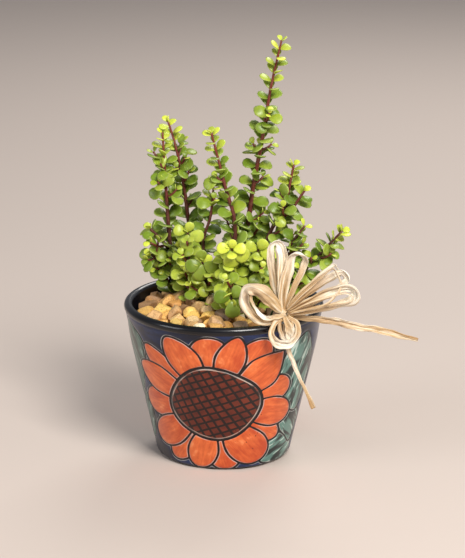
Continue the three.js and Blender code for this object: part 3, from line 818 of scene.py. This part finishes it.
green_leaf, leaf_start = new_finish("elephant_bush_leaf")
place = leaf_start.node("ShaderNodeTexCoord", out="Object")
age = leaf_start.read("age")
chance = leaf_start.read("chance")
rim = leaf_start.read("rim")
mottle = place.noise(260, 3)
leaf_paint = (age + (mottle - 0.5) * 0.3).step(0.0, 0.9).blend(colour(114, 140, 36), colour(218, 228, 80))
leaf_paint = (chance.step(0.55, 1.0) * 0.45).blend(leaf_paint, colour(156, 176, 78))
leaf_paint = ((1 - chance.step(0.0, 0.4)) * 0.5).blend(leaf_paint, colour(74, 102, 30))
leaf_paint = (rim.step(0.86, 1.0) * 0.4).blend(leaf_paint, colour(206, 216, 130))
# The middle of each leaf face is painted lighter, as a painted highlight.
leaf_paint = ((1 - rim.step(0.0, 0.4)) * 0.25).blend(leaf_paint, colour(150, 176, 92))
coat_with(leaf_start, {
    "Base Color": leaf_paint,
    "Roughness": mottle * 0.15 + 0.3,
    "Subsurface Weight": 0.12,
    "Subsurface Radius": (0.0012, 0.0016, 0.0004),
    "Specular IOR Level": 0.35,
    "Coat Weight": 0.1,
    "Coat Roughness": 0.2,
    "Normal": mottle.bump(0.25, 0.4),
})

red_bark, bark = new_finish("elephant_bush_bark")
place = bark.node("ShaderNodeTexCoord", out="Object")
rough_bark = place.scaled(1, 1, 0.45).noise(520, 4, 0.65)
bark_paint = bark.read("age").step(0.1, 0.95).blend(colour(52, 28, 24), colour(122, 50, 40))
bark_paint = (rough_bark.step(0.45, 0.75) * 0.5).blend(bark_paint, colour(140, 96, 78))
coat_with(bark, {
    "Base Color": bark_paint,
    "Roughness": rough_bark * 0.25 + 0.38,
    "Normal": rough_bark.bump(0.6, 0.4),
})

# Leaves given one by one where a tip leans forward: the middle of the tip, and round it each leaf's
# direction as seen from the front, its size and its age.
ROSETTES = {
    "front": ((6, -29.5, 166), [(82, 0.62, 0.95), (168, 0.84, 0.8), (8, 0.84, 0.9), (196, 1.1, 0.6),
                                (-28, 1.12, 0.7), (-92, 1.12, 0.5), (-60, 0.5, 1.0)]),
    "front_right": ((26, -21.5, 163), [(60, 0.8, 0.6), (150, 0.84, 0.5), (-20, 0.9, 0.6), (-110, 0.95, 0.4)]),
    "front_low": ((6, -43, 132), [(165, 1.05, 0.0), (55, 0.9, 0.05), (-85, 1.12, 0.0), (-20, 0.9, 0.1)]),
    "front_left": ((-27, -0.5, 171), [(75, 0.7, 0.7), (160, 0.85, 0.5), (-15, 0.95, 0.6), (-95, 1.0, 0.4)]),
    "front_short": ((-16, -11.5, 151), [(95, 0.8, 0.4), (195, 1.0, 0.25), (-25, 1.0, 0.3), (-100, 1.1, 0.2)]),
}
for name, shoots in CUTTINGS.items():
    bm = bmesh.new()
    middle, rosette = ROSETTES.get(name, ((0, 0, 0), []))
    for number, (degrees, size, age) in enumerate(rosette):
        direction = math.radians(degrees)
        out = Vector((math.cos(direction), -0.25 + 0.04 * number, math.sin(direction)))
        face = Vector((dice.uniform(-0.25, 0.25), -1, dice.uniform(0.1, 0.5)))
        add_leaf(bm, Vector(middle) + Vector((0, 0.5 * number, 0)) + out * 1.2, out, face, size, age)
    young = 1 if name.startswith("front") else 0
    for base_radius, route in shoots:
        grow(bm, base_radius, route, young)
    plant = link_piece("elephant_bush_" + name, mesh_from(bm, "elephant_bush_" + name), red_bark, green_leaf)
    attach(plant, "pot")
    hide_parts("cutting_" + name)


# --- Bow ------------------------------------------------
# Flat strips of dried raffia palm leaf, creased along their length, looped by hand and bound with
# one strip round the middle. Thin split ones lie between them. A green florist's wire holds the
# bow up behind the rim.
KNOT = np.array([sum(pair) / 2 / MM for pair in zip(*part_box("bow_knot"))])
KNOT_SIZE = (3.0, 3.5)
LOOP_STOPS = 160
WRAP_STOPS = 90
TAIL_STOPS = 120
STRIP_ROWS = 70
TAIL_ROWS = 100
STRIP_COLUMNS = 10
STRIP_THICK = 0.25
# Each strip as (right, up, back, width, roll): places from the knot in millimetres, and how far
# its flat side turns away from the front, in degrees.
LOOPS = {
    "left": [
        (0, 1, -2, 3, 40), (-4, 5, -4, 6, 15), (-9, 11, -5, 9.5, 5), (-15, 16.5, -6, 11, 0),
        (-21, 20, -6, 10, 10), (-26.5, 20, -4, 8, 40), (-29, 16, -2, 7, 35), (-28.5, 9.5, -2, 7.5, 10),
        (-25.5, 3, -3, 7.5, 5), (-21, -2.5, -4, 7, 10), (-14, -5.2, -5, 6.5, 5), (-7, -3.4, -5, 5, 10),
        (0, -0.6, -3, 3, 40)],
    "left_inner": [
        (0, 0.4, -6, 2.5, 20), (-6, -0.6, -8, 3.8, 0), (-12, -1.6, -8, 3.6, 10), (-17.5, 1.2, -6, 2.6, 30),
        (-21, 6, -5, 2.2, 20), (-23.5, 11.5, -5, 2.2, 10), (-24, 16, -5, 1.8, 40)],
    "tall_left": [
        (0, 2, 1, 3, 30), (-3.5, 12, 2, 4.5, 10), (-7, 24, 3, 6.2, 0), (-9, 38, 4, 6.4, 5),
        (-9.3, 47, 4, 5.5, 20), (-7.8, 51.2, 4, 4.5, 55), (-4.8, 51.6, 4, 6, 35), (-2, 47.5, 2, 8, 5),
        (-0.8, 39, 1, 8, 0), (-2, 27, 0, 6.5, 5), (-2, 12, 0, 4, 20), (0, 3, 0, 2.5, 40)],
    "tall_right": [
        (0, 2, -1, 3, 20), (-0.2, 14, -1, 6.5, 0), (2, 28, -1, 7.4, 5), (5, 40, 0, 7, 10),
        (8, 44.8, 0, 5.5, 50), (12.5, 44.6, 1, 5, 70), (16, 41, 2, 4.5, 50), (15.5, 36.5, 3, 5, 15),
        (11.5, 27, 2, 5, 5), (6.5, 17, 1, 4.4, 10), (1.5, 4, 1, 2.5, 30)],
    "right_upper": [
        (2, 2, 2, 2.4, 30), (12, 13, 4, 4, 10), (24, 24, 5.5, 4.2, 0), (36, 33.5, 6.5, 3.6, 10),
        (38.4, 33.2, 6.5, 3, 60), (39.5, 29.8, 5.5, 3.4, 50), (30, 24.5, 5, 4, 5), (18, 16, 4, 4, 10),
        (3, 2.5, 1.5, 2.4, 30)],
    "right_middle": [
        (3, 2, 0, 2.5, 30), (15, 13, -1, 4.4, 10), (28, 23, -1, 5, 0), (39, 30, -1, 5.6, 10),
        (43.5, 30.4, -1, 6, 50), (46, 26.5, -1, 5.6, 55), (42, 21.5, -2, 5, 20), (30, 14.5, -2, 6, 0),
        (17, 8, -2, 5.5, 5), (4, 1.5, -1, 2.5, 30)],
    "right_lower": [
        (3, 1.5, -4, 3, 30), (18, 10, -6.5, 5.5, 5), (33, 18.5, -8, 7, 0), (46, 21.5, -8.5, 6.5, 20),
        (52, 19, -8.5, 7, 50), (51, 13, -9, 7.5, 35), (40, 8.8, -8, 5.5, 10), (24, 5.2, -7, 5.4, 5),
        (10, 2.2, -5, 4.4, 10), (3, 0, -4, 2.5, 30)],
    "hanging": [
        (-1, -2, -5, 3, 20), (-6, -5.2, -8, 4, 15), (-9, -11.4, -10, 4.2, 10),
        (-7.2, -17.2, -10.5, 5.4, 10), (-2, -20.4, -10.5, 6.6, 5), (4, -20, -10.5, 6, 10),
        (8.6, -16, -10.5, 5, 15), (10.6, -10.6, -10, 4, 15), (9.2, -4.8, -8, 3.6, 20), (3, -1, -5, 3, 20)],
    "hanging_inner": [
        (-2.4, -2.5, -5, 2.4, 10), (-2.9, -9, -8, 3, 0), (-0.8, -15.5, -9, 3, 5),
        (1.8, -18.4, -8.6, 3.4, 20), (4.6, -17.6, -8.8, 5, 10), (4.6, -11, -8.8, 6.2, 0),
        (2.6, -5, -7.5, 4.6, 5), (0.6, -1, -5, 2.6, 20)],
    "hanging_split": [
        (4.6, -2, -6, 1.8, 10), (7, -8, -9, 2, 0), (7.6, -14, -9.4, 1.8, 5), (6.4, -18.6, -9, 1.6, 10)],
    "split_upper": [
        (2, 3, -3, 1.2, 10), (12.5, 14.5, -4, 1.6, 0), (25, 26.2, -4, 1.5, 10), (35, 34.6, -3.5, 1.2, 20),
        (38.6, 31, -6, 1.6, 20), (41.4, 23.4, -9, 1.8, 10), (37, 16, -11, 1.8, 0),
        (31, 10.4, -11.5, 1.6, 10), (19, 6.2, -10, 1.6, 0), (5, 2, -6, 1.2, 20)],
    "split_lower": [
        (4, 2, -6, 1.3, 10), (20, 10.8, -9.6, 1.7, 0), (34, 15.6, -11, 1.6, 10),
        (44.5, 18.2, -11, 1.5, 10), (50, 15, -11.6, 1.5, 20), (46, 11.6, -11.6, 1.4, 20),
        (30, 9, -10.6, 1.5, 0), (6, 2, -6, 1.2, 20)],
}
# How strongly a painted highlight whitens the far end of each loop, where the strip rolls over; the others
# have 1.
LOOP_HIGHLIGHTS = {
    "left": 0.5, "left_inner": 1.6, "hanging_inner": 1.2, "hanging": 0.9, "split_upper": 0.4,
    "split_lower": 0.4,
}


def strip(path, widths, faces, crease, painted_highlight, rows=STRIP_ROWS):
    """A creased flat strip along a path: its width lies across the path, square to its face."""
    bm = bmesh.new()
    bmesh.ops.create_grid(bm, x_segments=rows, y_segments=STRIP_COLUMNS, size=MM)
    mesh = mesh_from(bm, "strip")
    x, s, _ = places_of(mesh).T
    t = np.clip((x + 1) / 2, 0, 1)
    run = np.linspace(0, 1, len(path))
    ways = np.gradient(path, axis=0)
    across = np.cross(ways, faces)
    across /= np.linalg.norm(across, axis=1)[:, None]
    proud = np.cross(across, ways)
    proud /= np.linalg.norm(proud, axis=1)[:, None]

    def along(values):
        return np.column_stack([np.interp(t, run, axis) for axis in np.atleast_2d(values.T)])

    width = along(widths)[:, 0]
    phase = dice.uniform(0, 6, 6)
    ragged = 1 + 0.12 * np.sin(17 * t + phase[0] + s) + 0.08 * np.sin(41 * t + phase[4] - 2 * s)
    edge = s * width / 2 * ragged
    pleats = 0.11 * np.cos(3.3 * s + phase[1] + 3 * t) + 0.07 * np.cos(8 * s + phase[2] + 5 * t)
    crumple = s * np.sin(23 * t + phase[3]) + 0.7 * np.sin(31 * t + 4 * s + phase[5])
    crumple += 0.5 * np.sin(57 * t - 5 * s)
    crumple += 0.8 * np.sign(s) * np.abs(np.sin(12 * t + phase[2]))
    fold = crease * width * pleats + crease * 0.075 * width * crumple * np.sqrt(np.sin(3.14 * t))
    move_to(mesh, along(path) + along(across) * edge[:, None] + along(proud) * fold[:, None])
    length = np.linalg.norm(np.diff(path, axis=0), axis=1).sum()
    grain = np.full(len(t), dice.uniform(0, 50))
    write_on(mesh, "fibre", np.column_stack([t * length, s * width / 2, grain]))
    # A painted highlight, strongest at the middle of the strip.
    write_on(mesh, "painted_highlight", painted_highlight * np.sin(math.pi * t)**6)
    return mesh


def rolled_faces(path, roll):
    """The way a strip's flat side looks: to the front, turned about the path by the roll."""
    side = np.cross(np.gradient(path, axis=0), (0, 1, 0))
    side /= np.linalg.norm(side, axis=1)[:, None]
    return np.array((0, 1, 0)) * np.cos(roll)[:, None] + side * np.sin(roll)[:, None]


def loop_through(stops, painted_highlight):
    """A loop of the bow through its stops. The roll counts little towards its even spacing."""
    line = smooth_line(np.array(stops, float) * (1, 1, 1, 1, 0.1), LOOP_STOPS)
    path = KNOT + line[:, [0, 2, 1]]
    return strip(path, line[:, 3], rolled_faces(path, np.radians(line[:, 4] * 10)), 1.0, painted_highlight)


raffia, fibres = new_finish("raffia")
fibre = fibres.read("fibre", 1)
painted_highlight = fibres.read("painted_highlight")
fine = fibre.scaled(0.035, 2.4, 1).noise(1.0, 3, 0.6, 0.15)
broad = fibre.scaled(0.02, 0.55, 1, 5).noise(1.0, 2, 0.5, 0.3)
raffia_paint = (fine * 0.6 + broad * 0.6).step(0.35, 0.8).blend(colour(164, 122, 74), colour(228, 200, 154))
# A painted highlight at the far ends of the loops, where the strips roll over, and random pale streaks of the
# straw.
raffia_paint = (painted_highlight * 0.75 + broad.step(0.5, 0.68) * 0.5).blend(raffia_paint, colour(250, 244, 228))
raffia_paint = (fine.step(0.58, 0.68) * 0.65).blend(raffia_paint, colour(134, 96, 58))
coat_with(fibres, {
    "Base Color": raffia_paint,
    "Roughness": fine * 0.25 + 0.42,
    "Subsurface Weight": 0.1,
    "Subsurface Radius": (0.002, 0.0015, 0.001),
    "Normal": (fine * 0.7 + broad * 0.3).bump(0.6, 0.35),
})


def finish_strip(mesh, name, *nodes):
    """A strip as a piece of the bow, given its thickness."""
    mesh.name = name
    piece = link_piece(name, mesh, raffia)
    thickness = piece.modifiers.new("thickness", "SOLIDIFY")
    thickness.thickness = STRIP_THICK * MM
    thickness.offset = 0
    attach(piece, "bow")
    if nodes:
        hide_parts(*nodes)
    return piece


for name, stops in LOOPS.items():
    node = "bow_loop_" + name
    own_nodes = [node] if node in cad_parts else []
    finish_strip(loop_through(stops, LOOP_HIGHLIGHTS.get(name, 1.0)), "raffia_loop_" + name, *own_nodes)

# The binding goes three times round the knot: (shift to the right, tilt, width) of each turn.
wraps = []
for shift, tilt, width in ((-0.9, 0.3, 2.4), (0.8, -0.3, 2.2), (0.0, 0.7, 1.6)):
    angles = np.linspace(0, 2.15 * np.pi, WRAP_STOPS)
    out = np.column_stack([np.sin(angles) * tilt, np.cos(angles), np.sin(angles)])
    path = KNOT + (shift, -0.6, 0) + out * (np.linspace(*KNOT_SIZE, WRAP_STOPS)[:, None] * (1, 0.9, 1))
    wraps.append(strip(path, np.full(WRAP_STOPS, width), out * (0, 1, 1), 0.7, 0.1))
finish_strip(gathered(wraps, "raffia_binding"), "raffia_binding", "bow_knot")

# Each loose end as (width, strength of the painted highlight at its middle, its widths from the knot to the
# tip, its route).
TAILS = {
    "long": (4.8, 0.2, [3.2, 5.0, 5.8, 5.4, 5.2, 4.6, 3.0],
             [(51.6, -64.6, 124.6), (64, -66, 124.2), (82, -67, 122), (100, -69, 118.5),
              (120, -71, 115), (142, -74, 110)]),
    "short": (3.2, 0.9, [3.4, 3.8, 3.4, 3.0, 2.6, 2.4, 3.8],
              [(45, -64, 119.5), (45.6, -65, 110), (48.4, -65, 98), (53.4, -65.5, 85),
               (60, -66, 70), (67, -67, 55)]),
}
for name, (width, highlight_here, stop_widths, route) in TAILS.items():
    path = smooth_line(route, TAIL_STOPS)
    share = np.linspace(0, 1, TAIL_STOPS)
    widths = np.interp(share, np.linspace(0, 1, len(stop_widths)), stop_widths)
    faces = rolled_faces(path, 0.3 * np.sin(7 * share))
    mesh = strip(path, widths, faces, 1.0, highlight_here, TAIL_ROWS)
    tail = finish_strip(mesh, "raffia_tail_" + name, "bow_tail_" + name)

green_wire, wire = new_finish("green_wire")
place = wire.node("ShaderNodeTexCoord", out="Object")
chips = place.noise(700, 3, 0.6)
coat_with(wire, {
    "Base Color": chips.step(0.35, 0.8).blend(colour(28, 62, 38), colour(58, 98, 62)),
    "Roughness": chips * 0.25 + 0.35,
    "Normal": chips.bump(0.3, 0.2),
})
recoat("bow_pick", green_wire)


# --- Studio ---------------------------------------------
# A plain pale floor, a large soft light high at the front, and weaker ones at the sides.
floor_finish, floor_start = new_finish("studio_floor")
coat_with(floor_start, {"Base Color": colour(204, 190, 180), "Roughness": 0.8})
bm = bmesh.new()
bmesh.ops.create_circle(bm, cap_ends=True, segments=96, radius=6.0)
floor = link_piece("studio_floor", mesh_from(bm, "studio_floor"), floor_finish)


def soft_light(name, place, size, watts, tint):
    """A square soft light that faces the middle of the plant."""
    lamp = bpy.data.lights.new(name, "AREA")
    lamp.size = size
    lamp.energy = watts
    lamp.color = tint
    light = bpy.data.objects.new(name, lamp)
    light.location = place
    light.rotation_euler = (Vector((0, 0, 0.15)) - Vector(place)).to_track_quat("-Z", "Y").to_euler()
    bpy.context.scene.collection.objects.link(light)


soft_light("key_light", (0.7, -1.3, 1.5), 0.8, 48, (1.0, 0.97, 0.93))
soft_light("side_light", (-1.5, -0.7, 0.9), 0.8, 9, (0.95, 0.97, 1.0))
soft_light("back_light", (0.5, 1.4, 1.4), 0.8, 14, (1.0, 0.98, 0.95))
world = bpy.data.worlds.new("studio_air")
world.use_nodes = True
air = world.node_tree.nodes["Background"].inputs
air["Color"].default_value = (0.9, 0.93, 1.0, 1)
air["Strength"].default_value = 0.25
bpy.context.scene.world = world
